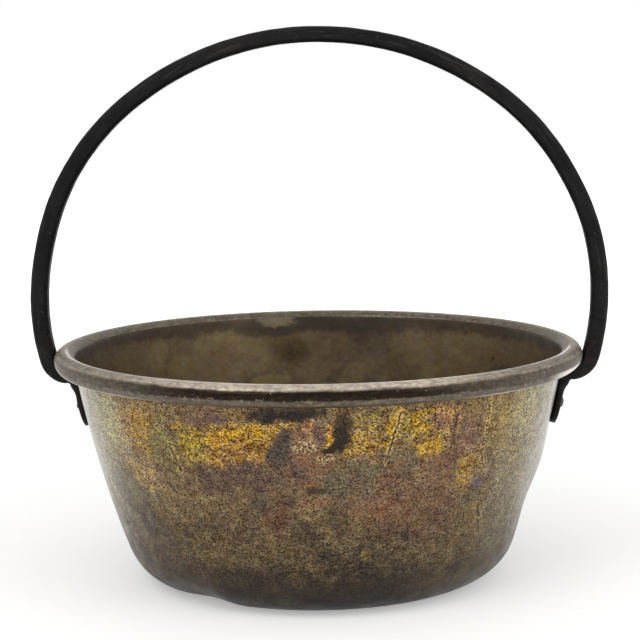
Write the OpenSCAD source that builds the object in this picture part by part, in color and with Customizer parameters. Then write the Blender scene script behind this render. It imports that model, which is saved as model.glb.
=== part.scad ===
// Open preserving pan of sheet brass with a fixed iron handle.
// The rim of the pan is rolled outwards over an iron wire. The handle is one forged bar:
// a three-centred arch whose ends wrap round the rolled rim and flatten into straps,
// and each strap is held to the wall by one rivet.
// The origin is on the pan's axis at its base, +Z is up and the handle lies in the XZ plane.

/* [Pan] */
// Diameter over the rolled rim
rim_d = 330; // [290:5:380]
// Height from the base to the top of the rolled rim
pan_h = 146; // [120:2:180]
// Diameter of the flat part of the base
base_d = 180; // [140:5:200]
// Radius of the turn from base to wall, on the outside
corner_r = 34; // [22:1:42]
// Thickness of the brass sheet
sheet_t = 1.6; // [1.2:0.1:2.2]
// Lean that the wall has more of at its foot, and less of at the rim, than in the middle
wall_swell = 5; // [2:0.5:6]

/* [Rim] */
// Diameter of the iron wire that the rim is rolled over
wire_d = 9.8; // [7:0.2:11]
// Gap between the wire and the brass around it
wire_fit = 0.1; // [0.05:0.05:0.2]
// Gap between the edge of the rolled sheet and the wall
curl_gap = 0.4; // [0.2:0.1:0.8]

/* [Handle] */
// Height of the top of the handle above the base
handle_h = 343; // [330:1:370]
// Width over the handle at its widest
handle_over = 33; // [28:1:44]
// Half of the angle that the crown takes, where its flatter arc meets the shoulders
crown_half = 38; // [32:1:46]
// Thickness of the handle bar at its shoulders and ends, in the plane of the arch
bar_t = 11; // [9:0.2:12]
// Thickness of the handle bar at the top of the arch, where it is drawn out a little
crown_t = 10; // [8.6:0.2:12]
// Depth of the handle bar, across the plane of the arch
bar_w = 12; // [10:0.5:15]
// Radius of the handle bar's worn corners
bar_round = 3.6; // [2:0.2:4.2]
// Gap between the handle bar and the rolled rim that it wraps round
rim_gap = 0.5; // [0.3:0.1:1]

/* [Straps] */
// Width of the flattened strap
strap_w = 24; // [16:1:26]
// Thickness of the strap at the rivet
strap_t = 4.6; // [3:0.1:5]
// Length of the strap below the top of the rim
strap_drop = 52; // [48:1:60]
// Gap between the strap and the wall
strap_seat = 0.15; // [0.1:0.05:0.3]
// Width of the facet that is worn round the strap's lower edge
strap_worn = 1.2; // [0.6:0.2:1.6]

/* [Rivets] */
// Depth of the rivets below the top of the rim
rivet_drop = 38; // [36:1:40]
// Diameter of the rivet's shank
rivet_d = 4; // [3:0.5:4.5]
// Diameter of the rivet's round outer head
head_d = 8; // [7:0.5:9]
// Height of the rivet's round outer head
head_h = 2.6; // [2:0.1:3.2]
// Diameter of the rivet's flat inner head
tail_d = 9; // [8:0.5:11]
// Height of the rivet's flat inner head
tail_h = 1.6; // [1.2:0.1:2.2]
// Clearance of the rivet in its holes and under its heads
rivet_fit = 0.1; // [0.1:0.05:0.2]

/* [Hidden] */
$fn = 96;

// How finely the curves of the outlines are stepped
corner_steps = 12;
wall_steps = 16;
curl_steps = 36;
strap_steps = 8;
round_steps = 3;
head_steps = 8;
wrap_steps = 10;
shoulder_steps = 18;
crown_steps = 14;

base_r = base_d / 2;
wire_r = wire_d / 2;
curl_r = wire_r + wire_fit;
roll_r = curl_r + sheet_t;

// Centre of the rolled rim's section
roll_x = rim_d / 2 - roll_r;
roll_z = pan_h - roll_r;

// Lean of the straight line that touches the corner and the wire, from the vertical
across = roll_x - base_r;
rise = roll_z - corner_r;
mid_lean = atan2(across, rise) - asin((corner_r + curl_r) / norm([across, rise]));
foot_lean = mid_lean + wall_swell;
top_lean = mid_lean - wall_swell;

// The wall's outer face runs from the corner to the wire and is tangent to both
wall_foot = [base_r + corner_r * cos(foot_lean), corner_r * (1 - sin(foot_lean))];
wall_top = [roll_x - curl_r * cos(top_lean), roll_z + curl_r * sin(top_lean)];
wall_reach = cross(wall_top - wall_foot, [sin(top_lean), cos(top_lean)]) / sin(foot_lean - top_lean);
wall_turn = wall_foot + wall_reach * [sin(foot_lean), cos(foot_lean)];

// The curl starts where the wall touches the wire and ends just short of the wall again
curl_from = 180 - top_lean;
curl_to = curl_from + acos((curl_r - curl_gap) / roll_r) - 360;

// Handle: the crown and the shoulders are tangent arcs, and the wraps follow the rolled rim
wrap_in = roll_r + rim_gap;
wrap_r = wrap_in + bar_t / 2;
wrap_out = wrap_in + bar_t;
handle_w = rim_d + handle_over;
wide_x = (handle_w - bar_t) / 2;
top_z = handle_h - crown_t / 2;

// The shoulder touches the wrap, the crown and the widest line, which sets its height over
// the roll by a quadratic, and then its radius and the crown's
hug = wide_x - roll_x;
hug_gain = 2 * (hug - wrap_r);
crown_share = sin(crown_half) / (sin(crown_half) + cos(crown_half) - 1);
shoulder_base = wide_x - crown_share * (wide_x - top_z + roll_z);
half_gain = hug_gain * crown_share / 2;
shoulder_rise = sqrt(half_gain * half_gain + hug_gain * shoulder_base + wrap_r * wrap_r - hug * hug)
    - half_gain;
shoulder_r = shoulder_base - crown_share * shoulder_rise;
shoulder_x = wide_x - shoulder_r;
shoulder_z = roll_z + shoulder_rise;
crown_r = shoulder_r + shoulder_x / sin(crown_half);
crown_z = top_z - crown_r;
wrap_from = -atan2(shoulder_z - roll_z, roll_x - shoulder_x);
wrap_to = -96;

// Strap: its foot, where it starts to thicken, and the notch under the wrapped bar. Its top
// is drawn in until it lies within the bar's sides
knee_inset = 0.25;
knee_half = bar_w / 2 - knee_inset;
strap_foot_z = pan_h - strap_drop;
rivet_z = pan_h - rivet_drop;
flare_z = rivet_z + head_d / 2 + 1;
notch_z = roll_z - wrap_out + 0.8;
knee_lift = 1.5 * (bar_w - bar_round) / strap_w;
knee_step = 0.3;
knee_r = wrap_in + knee_step;
seat_end = curl_from + acos((curl_r - strap_seat) / knee_r) - 360;
strap_half_angle = asin((strap_w / 2 + 2) / wall_x(strap_foot_z));

rivet_r = rivet_d / 2;
head_r = head_d / 2;
tail_r = tail_d / 2;
hole_r = rivet_r + rivet_fit;

// Points on an arc about a centre, both ends included
function arc(centre, r, from, to, steps) =
    [for (i = [0:steps]) let (a = from + (to - from) * i / steps) centre + r * [cos(a), sin(a)]];

// A point on the wall's outer face, its lean there, and the same point moved outwards by d
function wall_at(s) = pow(1 - s, 2) * wall_foot + 2 * s * (1 - s) * wall_turn + s * s * wall_top;
function wall_lean(s) =
    let (d = (1 - s) * (wall_turn - wall_foot) + s * (wall_top - wall_turn)) atan2(d[0], d[1]);
function wall_off(s, d) = wall_at(s) + d * [cos(wall_lean(s)), -sin(wall_lean(s))];

// Where on the wall a height lies, the wall's radius there and its lean
function wall_s(z) =
    let (curve = wall_foot[1] - 2 * wall_turn[1] + wall_top[1], slope = 2 * (wall_turn[1] - wall_foot[1]))
    2 * (z - wall_foot[1]) / (slope + sqrt(slope * slope + 4 * curve * (z - wall_foot[1])));
function wall_x(z) = wall_at(wall_s(z))[0];
function lean_at(z) = wall_lean(wall_s(z));

// Thickness of the strap at a height: even past the rivet, then swelling into the wrapped bar
knee_t = (roll_x - wall_x(notch_z)) * cos(lean_at(notch_z)) - strap_seat;
function strap_thick(z) =
    z < flare_z ? strap_t : strap_t + (knee_t - strap_t) * pow((z - flare_z) / (notch_z - flare_z), 2);

// A point on the strap at a height, at a distance off the wall
function strap_at(z, d) = [wall_x(z) + d / cos(lean_at(z)), z];

// Half width of the strap seen from the front, between the strap's full width and the bar
function strap_half(u) = strap_w / 2 + (knee_half - strap_w / 2) * (1 - cos(180 * u)) / 2;

module pan_section() {
    outer = concat(
        arc([base_r, corner_r], corner_r, -90, -foot_lean, corner_steps),
        [for (i = [1:wall_steps]) wall_at(i / wall_steps)],
        arc([roll_x, roll_z], curl_r, curl_from, curl_to, curl_steps));
    inner = concat(
        arc([roll_x, roll_z], roll_r, curl_to, curl_from, curl_steps),
        [for (i = [wall_steps - 1:-1:0]) wall_off(i / wall_steps, -sheet_t)],
        arc([base_r, corner_r], corner_r - sheet_t, -foot_lean, -90, corner_steps));
    polygon(concat([[0, 0]], outer, inner, [[0, sheet_t]]));
}

module pan() {
    color([0.62, 0.5, 0.24])
    difference() {
        rotate_extrude() pan_section();
        both_sides() at_rivet() cylinder(r = hole_r, h = 6 * sheet_t, center = true);
    }
}

module rim_wire() {
    color([0.3, 0.28, 0.26])
    rotate_extrude() translate([roll_x, roll_z]) circle(r = wire_r);
}

// The bar's section for a thickness t: a rectangle with worn corners, across the arch's plane
function bar_points(t) =
    let (x = t / 2 - bar_round, y = bar_w / 2 - bar_round)
    concat(
        arc([x, y], bar_round, 0, 90, round_steps),
        arc([-x, y], bar_round, 90, 180, round_steps),
        arc([-x, -y], bar_round, 180, 270, round_steps),
        arc([x, -y], bar_round, 270, 360, round_steps));

// The section set at angle a of an arc in the XZ plane
function bar_ring(centre, r, a, t) =
    [for (p = bar_points(t)) [centre[0] + (r + p[0]) * cos(a), p[1], centre[1] + (r + p[0]) * sin(a)]];

// The bar's thickness at angle a of the crown
function crown_thick(a) = bar_t + (crown_t - bar_t) * (1 + cos(180 * (a - 90) / crown_half)) / 2;

// The rings of the bar from the right strap up to the top of the arch
function wrap_rings() = [for (i = [0:wrap_steps - 1])
    bar_ring([roll_x, roll_z], wrap_r, wrap_to + (wrap_from - wrap_to) * i / wrap_steps, bar_t)];
function shoulder_rings() = [for (i = [0:shoulder_steps - 1])
    bar_ring([shoulder_x, shoulder_z], shoulder_r,
        wrap_from + (90 - crown_half - wrap_from) * i / shoulder_steps, bar_t)];
function crown_rings() = [for (i = [0:crown_steps])
    let (a = 90 - crown_half * (1 - i / crown_steps)) bar_ring([0, crown_z], crown_r, a, crown_thick(a))];

// The arch: its right half and the mirrored left half, skinned ring to ring
module bar() {
    right = concat(wrap_rings(), shoulder_rings(), crown_rings());
    left = [for (i = [len(right) - 2:-1:0]) [for (p = right[i]) [-p[0], p[1], p[2]]]];
    rings = concat(right, left);
    sides = len(rings[0]);
    last = (len(rings) - 1) * sides;
    skin = [for (i = [0:len(rings) - 2], j = [0:sides - 1])
        let (a = i * sides + j, b = i * sides + (j + 1) % sides)
        each [[a, a + sides, b + sides], [a, b + sides, b]]];
    polyhedron(
        points = [for (ring = rings) each ring],
        faces = concat([[for (j = [0:sides - 1]) j]], skin, [[for (j = [sides - 1:-1:0]) last + j]]));
}

// The strap's side view: it lies on the wall, and its top follows the rolled rim
module strap_side() {
    outer_top = notch_z;
    outer_foot = strap_foot_z + strap_worn;
    inner_top = roll_z + knee_r * sin(seat_end);
    polygon(concat(
        [for (i = [0:strap_steps]) strap_at(strap_foot_z + (inner_top - strap_foot_z) * i / strap_steps,
            strap_seat)],
        arc([roll_x, roll_z], knee_r, seat_end + 3, -90, strap_steps),
        [for (i = [0:strap_steps]) let (z = outer_top + (flare_z - outer_top) * i / strap_steps)
            strap_at(z, strap_seat + strap_thick(z))],
        [strap_at((flare_z + outer_foot) / 2, strap_seat + strap_t),
            strap_at(outer_foot, strap_seat + strap_t),
            strap_at(strap_foot_z, strap_seat + strap_t - strap_worn)]));
}

// The strap's front view: a round foot, full width past the rivet, then drawn in to the bar
module strap_front() {
    foot = arc([0, strap_foot_z + strap_w / 2], strap_w / 2, 180, 360, 3 * round_steps);
    neck = [for (i = [0:strap_steps]) let (u = i / strap_steps)
        [strap_half(u), flare_z + (notch_z - flare_z) * (u + (1 - u) * u * knee_lift)]];
    polygon(concat(
        foot,
        neck,
        [[knee_half, roll_z], [-knee_half, roll_z]],
        [for (i = [strap_steps:-1:0]) [-neck[i][0], neck[i][1]]]));
}

module strap() {
    intersection() {
        rotate([0, 0, -strap_half_angle])
        rotate_extrude(angle = 2 * strap_half_angle)
        strap_side();
        translate([base_r, 0, 0]) rotate([90, 0, 90]) linear_extrude(rim_d / 2) strap_front();
    }
}

module handle() {
    color([0.13, 0.12, 0.12])
    difference() {
        union() {
            bar();
            both_sides() strap();
        }
        both_sides() at_rivet() cylinder(r = hole_r, h = 6 * strap_t, center = true);
    }
}

module both_sides() {
    children();
    mirror([1, 0, 0]) children();
}

// Puts a piece at the rivet's place on the wall's outer face, with its +Z out of the wall
module at_rivet() {
    translate([wall_x(rivet_z), 0, rivet_z])
    rotate([0, 90 + lean_at(rivet_z), 0])
    children();
}

// A rivet along Z, with zero at the wall's outer face: round head outside, flat head inside
module rivet() {
    seat = strap_seat + strap_t + rivet_fit;
    dome_r = (head_r * head_r + head_h * head_h) / (2 * head_h);
    dome_half = asin(head_r / dome_r);
    tail_top = -sheet_t - rivet_fit;
    rotate_extrude()
    polygon(concat(
        [[0, tail_top - tail_h], [tail_r - tail_h, tail_top - tail_h],
            [tail_r, tail_top - tail_h / 2], [tail_r, tail_top], [rivet_r, tail_top], [rivet_r, seat]],
        arc([0, seat + head_h - dome_r], dome_r, 90 - dome_half, 90, head_steps)));
}

module rivet_right() {
    color([0.2, 0.19, 0.19])
    at_rivet() rivet();
}

module rivet_left() {
    color([0.2, 0.19, 0.19])
    mirror([1, 0, 0]) at_rivet() rivet();
}

pan();
rim_wire();
handle();
rivet_left();
rivet_right();
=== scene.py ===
import math
import random

import bmesh
import bpy
from mathutils import Matrix, Vector


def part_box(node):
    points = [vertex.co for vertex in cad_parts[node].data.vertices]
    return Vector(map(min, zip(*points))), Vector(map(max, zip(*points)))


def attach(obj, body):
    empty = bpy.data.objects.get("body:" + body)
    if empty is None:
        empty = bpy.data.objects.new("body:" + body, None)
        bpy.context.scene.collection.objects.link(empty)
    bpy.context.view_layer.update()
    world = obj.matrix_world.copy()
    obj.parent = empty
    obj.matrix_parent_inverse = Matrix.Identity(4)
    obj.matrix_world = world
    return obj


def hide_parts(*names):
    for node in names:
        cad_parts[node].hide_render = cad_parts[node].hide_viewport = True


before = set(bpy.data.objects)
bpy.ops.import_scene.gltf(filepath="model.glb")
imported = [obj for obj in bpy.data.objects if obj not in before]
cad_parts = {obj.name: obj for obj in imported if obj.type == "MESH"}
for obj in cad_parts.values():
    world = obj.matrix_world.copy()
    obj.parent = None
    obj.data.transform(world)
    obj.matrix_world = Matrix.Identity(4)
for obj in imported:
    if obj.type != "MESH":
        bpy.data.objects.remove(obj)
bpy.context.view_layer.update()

panLow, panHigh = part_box("pan")
handleLow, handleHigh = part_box("handle")
print("frame loaded, pan is", round(panHigh.x * 2000), "mm over the rim")

# camera, where the photograph was taken from: lengths in metres, angles in degrees
camera = {
    "distance": 1.178,
    "height": 0.3182,
    "turn": 2.4,        # round the pan, towards its right side
    "pitch": 7.641,
    "yaw": 0.069,
    "roll": -0.821,
    "lens": 106.39,     # mm on a 36 mm sensor
}


def placeCamera():
    turn = math.radians(camera["turn"])
    stand = Vector((math.sin(turn) * camera["distance"], -math.cos(turn) * camera["distance"], camera["height"]))
    aim = Matrix.Rotation(turn - math.radians(camera["yaw"]), 4, "Z")
    aim = aim @ Matrix.Rotation(math.radians(90 - camera["pitch"]), 4, "X")
    aim = aim @ Matrix.Rotation(math.radians(camera["roll"]), 4, "Z")
    lens = bpy.data.cameras.new("camera")
    lens.lens = camera["lens"]
    lens.sensor_width = 36
    holder = bpy.data.objects.new("camera", lens)
    holder.matrix_world = Matrix.Translation(stand) @ aim
    bpy.context.scene.collection.objects.link(holder)
    bpy.context.scene.camera = holder


placeCamera()
print("camera placed")


# small helpers for modelling, all in edit mode unless they say otherwise

def startPiece(name):
    # names the object that was just added and opens it in edit mode
    piece = bpy.context.object
    piece.name = name
    piece.data.name = name
    bpy.ops.object.mode_set(mode="EDIT")
    return piece


def deselectAll():
    bpy.ops.object.select_all(action="DESELECT")


def choose(piece, test):
    # selects the vertices whose place passes the test
    mesh = bmesh.from_edit_mesh(piece.data)
    for vert in mesh.verts:
        vert.select = test(vert.co)
    mesh.select_flush_mode()
    bmesh.update_edit_mesh(piece.data)


def applyAll(piece):
    # object mode: applies every modifier in order
    bpy.context.view_layer.objects.active = piece
    for modifier in list(piece.modifiers):
        bpy.ops.object.modifier_apply(modifier=modifier.name)


def arc(centre, radius, start, end, steps):
    # points on an arc in the XZ plane, both ends included, angles in degrees
    points = []
    for step in range(steps + 1):
        angle = math.radians(start + (end - start) * step / steps)
        points.append(Vector((centre[0] + radius * math.cos(angle), centre[1] + radius * math.sin(angle))))
    return points


def drawOutline(name, points):
    # one vertex, extruded from point to point in the XZ plane
    deselectAll()
    bpy.ops.mesh.primitive_plane_add(size=0.001, location=(points[0].x, 0, points[0].y))
    piece = startPiece(name)
    bpy.ops.mesh.merge(type="CENTER")
    for here, there in zip(points, points[1:]):
        move = there - here
        bpy.ops.mesh.extrude_vertices_move(TRANSFORM_OT_translate={"value": (move.x, 0, move.y)})
    bpy.ops.object.mode_set(mode="OBJECT")
    bpy.ops.object.transform_apply(location=True, rotation=True, scale=True)
    bpy.ops.object.mode_set(mode="EDIT")
    return piece


def spinRound(steps):
    bpy.ops.mesh.select_all(action="SELECT")
    bpy.ops.mesh.spin(steps=steps, angle=2 * math.pi, center=(0, 0, 0), axis=(0, 0, 1))
    bpy.ops.mesh.select_all(action="SELECT")
    bpy.ops.mesh.remove_doubles(threshold=0.00002)
    bpy.ops.mesh.normals_make_consistent(inside=False)


# the pan, in metres and degrees
pan = {
    "base": 0.180,          # diameter of the flat base
    "corner": 0.034,        # radius of the turn from base to wall
    "sheet": 0.0016,
    "swell": 5,             # how much more the wall leans at its foot than in the middle
    "wire": 0.0098,
    "wireGap": 0.0001,
    "curlGap": 0.0004,
    "around": 288,          # steps round the pan
    "waviness": 0.0011,     # unevenness of the beaten sheet
    "unrolled": 0.145,      # radius at which the wall is laid flat for its stains
}
# places pressed out of shape: angle from the front, height, push inwards, push upwards, reach
dents = [
    (-62.3, 0.008, -0.0010, 0.0002, 0.030),
    (-39.3, 0.004, 0.0012, 0.0022, 0.030),
    (-170.3, 0.129, 0.0030, 0, 0.022),
    (155.7, 0.118, 0.0012, 0, 0.030),
    (5.7, 0.128, 0.0007, 0, 0.018),
    (43.7, 0.080, 0.0006, 0, 0.010),
    (-26.3, 0.098, 0.0008, 0, 0.026),
    (81.7, 0.050, 0.0014, 0, 0.034),
    (84, 0.070, -0.0014, 0, 0.033),
    (117.7, 0.070, 0.0018, 0, 0.030),
    (-132.3, 0.060, 0.0016, 0, 0.032),
    (-167.3, 0.035, 0.0012, 0, 0.026),
]


def wallLines():
    # the wall's outer face: a curve that is tangent to the corner and to the rolled rim
    curl = pan["wire"] / 2 + pan["wireGap"]
    roll = curl + pan["sheet"]
    centre = Vector((min(panHigh.x, panHigh.y) - roll, panHigh.z - roll))
    base = pan["base"] / 2
    across, rise = centre.x - base, centre.y - pan["corner"]
    middle = math.degrees(math.atan2(across, rise))
    middle -= math.degrees(math.asin((pan["corner"] + curl) / math.hypot(across, rise)))
    foot = math.radians(middle + pan["swell"])
    top = math.radians(middle - pan["swell"])
    low = Vector((base + pan["corner"] * math.cos(foot), pan["corner"] * (1 - math.sin(foot))))
    high = Vector((centre.x - curl * math.cos(top), centre.y + curl * math.sin(top)))
    span = high - low
    reach = (span.x * math.cos(top) - span.y * math.sin(top)) / math.sin(foot - top)
    turn = low + reach * Vector((math.sin(foot), math.cos(foot)))
    return {"curl": curl, "roll": roll, "centre": centre, "low": low, "turn": turn, "high": high,
            "foot": math.degrees(foot), "top": math.degrees(top)}


wall = wallLines()


def wallPoint(share, off=0):
    # a point on the wall's outer face, or off it, for a share of the way from foot to rim
    low, turn, high = wall["low"], wall["turn"], wall["high"]
    point = (1 - share) ** 2 * low + 2 * share * (1 - share) * turn + share ** 2 * high
    along = ((1 - share) * (turn - low) + share * (high - turn)).normalized()
    return point + off * Vector((along.y, -along.x))


def wallShare(height):
    low, turn, high = wall["low"].y, wall["turn"].y, wall["high"].y
    curve, slope = low - 2 * turn + high, 2 * (turn - low)
    return 2 * (height - low) / (slope + math.sqrt(slope ** 2 + 4 * curve * (height - low)))


def wallRadius(height):
    if height < wall["low"].y:
        drop = pan["corner"] - height
        return pan["base"] / 2 + math.sqrt(pan["corner"] ** 2 - drop ** 2)
    return wallPoint(wallShare(height)).x


def wallLean(height):
    share = wallShare(height)
    low, turn, high = wall["low"], wall["turn"], wall["high"]
    along = (1 - share) * (turn - low) + share * (high - turn)
    return math.atan2(along.x, along.y)


def panOutline():
    base, corner, sheet = pan["base"] / 2, pan["corner"], pan["sheet"]
    curlStart = 180 - wall["top"]
    curlEnd = curlStart + math.degrees(math.acos((wall["curl"] - pan["curlGap"]) / wall["roll"])) - 360
    rings, wallSteps = 9, 34
    points = [Vector((base * ring / rings, 0)) for ring in range(rings)]
    points += arc((base, corner), corner, -90, -wall["foot"], 14)
    points += [wallPoint(step / wallSteps) for step in range(1, wallSteps + 1)]
    points += arc(wall["centre"], wall["curl"], curlStart, curlEnd, 22)[1:]
    points += arc(wall["centre"], wall["roll"], curlEnd, curlStart, 40)
    points += [wallPoint(step / wallSteps, -sheet) for step in range(wallSteps - 1, 0, -1)]
    points += arc((base, corner), corner - sheet, -wall["foot"], -90, 14)
    points += [Vector((base * ring / rings, sheet)) for ring in range(rings - 1, -1, -1)]
    return points


def onWall(angle, height):
    # a place on the wall's outer face, the angle counted from the front towards the right
    turn = math.radians(angle)
    radius = wallRadius(height)
    return Vector((radius * math.sin(turn), -radius * math.cos(turn), height))


def press(piece, dent):
    angle, height, inwards, upwards, reach = dent
    place = onWall(angle, height)
    mesh = bmesh.from_edit_mesh(piece.data)
    nearest = min(mesh.verts, key=lambda vert: (vert.co - place).length)
    for vert in mesh.verts:
        vert.select = vert is nearest
    mesh.select_flush_mode()
    bmesh.update_edit_mesh(piece.data)
    turn = math.radians(angle)
    push = Vector((-math.sin(turn) * inwards, math.cos(turn) * inwards, upwards))
    bpy.ops.transform.translate(value=push, use_proportional_edit=True,
                                proportional_edit_falloff="SMOOTH", proportional_size=reach)


def finishOf(spot, facing):
    # 0 outside, 1 inside, 2 rolled rim, by a face's place on the even pan
    radius, height = math.hypot(spot.x, spot.y), spot.z
    out, rise = radius - wall["centre"].x, height - wall["centre"].y
    if math.hypot(out, rise) > wall["curl"] - 0.0003 and height > wall["centre"].y - wall["roll"] - 0.0004:
        onRoll = out > 0 or rise > 0.45 * wall["roll"]
        if onRoll or radius > wallRadius(min(height, wall["high"].y)) + 0.001:
            return 2
    outwards = facing.x * spot.x + facing.y * spot.y
    if height < wall["low"].y:
        return 0 if facing.z < 0 else 1
    return 0 if outwards > 0 else 1


def makePan():
    piece = drawOutline("preservingPan", panOutline())
    spinRound(pan["around"])
    bpy.ops.object.mode_set(mode="OBJECT")
    finishes = [finishOf(face.center, face.normal) for face in piece.data.polygons]
    bpy.ops.object.mode_set(mode="EDIT")
    for dent in dents:
        press(piece, dent)
    bpy.ops.object.mode_set(mode="OBJECT")
    # the beaten sheet is a little uneven, least at the rim and not at all under the base
    group = piece.vertex_groups.new(name="beaten")
    for vert in piece.data.vertices:
        height = vert.co.z / panHigh.z
        share = min(1, max(0, (height - 0.02) / 0.15)) * (1 - min(1, max(0, (height - 0.8) / 0.1)))
        group.add([vert.index], share, "REPLACE")
    for name, size, share in (("broad", 0.075, 1), ("narrow", 0.022, 0.3)):
        cloud = bpy.data.textures.new(name, "CLOUDS")
        cloud.noise_scale = size
        cloud.cloud_type = "COLOR"
        beaten = piece.modifiers.new(name, "DISPLACE")
        beaten.texture = cloud
        beaten.texture_coords = "LOCAL"
        beaten.direction = "RGB_TO_XYZ"
        beaten.mid_level = 0.5
        beaten.strength = pan["waviness"] * share
        beaten.vertex_group = "beaten"
    applyAll(piece)
    bpy.ops.object.shade_smooth()
    return piece, finishes


# the handle: one forged bar, in metres and degrees
handle = {
    "crownHalf": 38,        # half angle of the flatter arc at the top
    "thick": 0.011,
    "crownThick": 0.010,
    "wide": 0.012,
    "cornerRound": 0.0036,
    "rimGap": 0.0005,
    "kneeRadius": 0.0065,
    "wrapEnd": -85,         # where the bar leaves the rolled rim
    "strapThick": 0.0046,
    "strapWide": 0.024,
    "strapGap": 0.00015,
    "strapEven": 0.113,     # height below which the strap is even
    "rowLength": 0.004,
    "forged": 0.0007,       # unevenness of the forged bar
}
# places where the arch was pushed out of true: x, height, push sideways, reach
bends = [
    (-0.168, 0.215, 0.0019, 0.075),
    (-0.130, 0.290, 0.0019, 0.085),
    (-0.070, 0.338, 0.0014, 0.080),
    (0.152, 0.265, -0.0009, 0.060),
]


def handleArcs():
    # crown and shoulder are tangent arcs, and the shoulder touches the wrap round the rim
    centre, thick = wall["centre"], handle["thick"]
    wrap = wall["roll"] + handle["rimGap"] + thick / 2
    wide = handleHigh.x - thick / 2
    top = handleHigh.z - handle["crownThick"] / 2
    half = math.radians(handle["crownHalf"])
    hug = wide - centre.x
    share = math.sin(half) / (math.sin(half) + math.cos(half) - 1)
    base = wide - share * (wide - top + centre.y)
    gain = (hug - wrap) * share
    rise = math.sqrt(gain ** 2 + 2 * (hug - wrap) * base + wrap ** 2 - hug ** 2) - gain
    shoulder = base - share * rise
    shoulderCentre = Vector((wide - shoulder, centre.y + rise))
    crown = shoulder + shoulderCentre.x / math.sin(half)
    wrapStart = -math.degrees(math.atan2(rise, centre.x - shoulderCentre.x))
    return [((0, top - crown), crown, 90, 90 - handle["crownHalf"]),
            (shoulderCentre, shoulder, 90 - handle["crownHalf"], wrapStart),
            (centre, wrap, wrapStart, handle["wrapEnd"])]


def strapThickness(height, kneeHeight, kneeThick):
    if height <= handle["strapEven"]:
        return handle["strapThick"]
    share = (height - handle["strapEven"]) / (kneeHeight - handle["strapEven"])
    return handle["strapThick"] + (kneeThick - handle["strapThick"]) * share ** 2


def handlePath():
    # the bar's middle line from the top of the arch to the strap's foot, with rows of (point, thickness, width)
    rows = []
    thick, crownThick = handle["thick"], handle["crownThick"]
    for number, (centre, radius, start, end) in enumerate(handleArcs()):
        steps = max(8, round(abs(math.radians(end - start)) * radius / handle["rowLength"]))
        for step, point in enumerate(arc(centre, radius, start, end, steps)):
            if number and step == 0:
                continue
            rowThick = thick
            if number == 0:
                rowThick += (crownThick - thick) * (1 + math.cos(math.pi * step / steps)) / 2
            rows.append((point, rowThick, handle["wide"]))
    # the knee bends the other way, out of the wrap and down along the wall
    away = math.radians(handle["wrapEnd"])
    knee = handle["kneeRadius"]
    kneeCentre = rows[-1][0] + knee * Vector((math.cos(away), math.sin(away)))
    kneeEnd = Vector((kneeCentre.x - knee, kneeCentre.y))
    kneeThick = 2 * (kneeEnd.x - wallRadius(kneeEnd.y) - handle["strapGap"])
    turns = 8
    for step, point in enumerate(arc(kneeCentre, knee, handle["wrapEnd"] + 180, 180, turns)):
        if step:
            rows.append((point, thick + (kneeThick - thick) * step / turns, handle["wide"] * (1 + 0.12 * step / turns)))
    foot = handleLow.z
    drop = kneeEnd.y - foot
    steps = round(drop / 0.0013)
    halfWide = handle["strapWide"] / 2
    for step in range(1, steps + 1):
        height = kneeEnd.y - drop * step / steps
        rowThick = strapThickness(height, kneeEnd.y, kneeThick)
        share = min(1, (kneeEnd.y - height) / (kneeEnd.y - handle["strapEven"] + 0.002))
        wide = handle["wide"] * 1.12 + (handle["strapWide"] - handle["wide"] * 1.12) * (1 - math.cos(math.pi * share)) / 2
        left = halfWide - (height - foot)
        if left > 0:
            wide = min(wide, 2 * math.sqrt(max(halfWide ** 2 - left ** 2, 0.000009)))
        lean = wallLean(height)
        centreX = wallRadius(height) + (handle["strapGap"] + rowThick / 2) / math.cos(lean)
        rows.append((Vector((centreX, height)), rowThick, wide))
    return rows


def pushAside(piece, bend):
    x, height, sideways, reach = bend
    place = Vector((x, 0, height))
    mesh = bmesh.from_edit_mesh(piece.data)
    nearest = min(mesh.verts, key=lambda vert: (vert.co - place).length)
    for vert in mesh.verts:
        vert.select = vert is nearest
    mesh.select_flush_mode()
    bmesh.update_edit_mesh(piece.data)
    bpy.ops.transform.translate(value=(sideways, 0, 0), use_proportional_edit=True,
                                proportional_edit_falloff="SMOOTH", proportional_size=reach)


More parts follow.
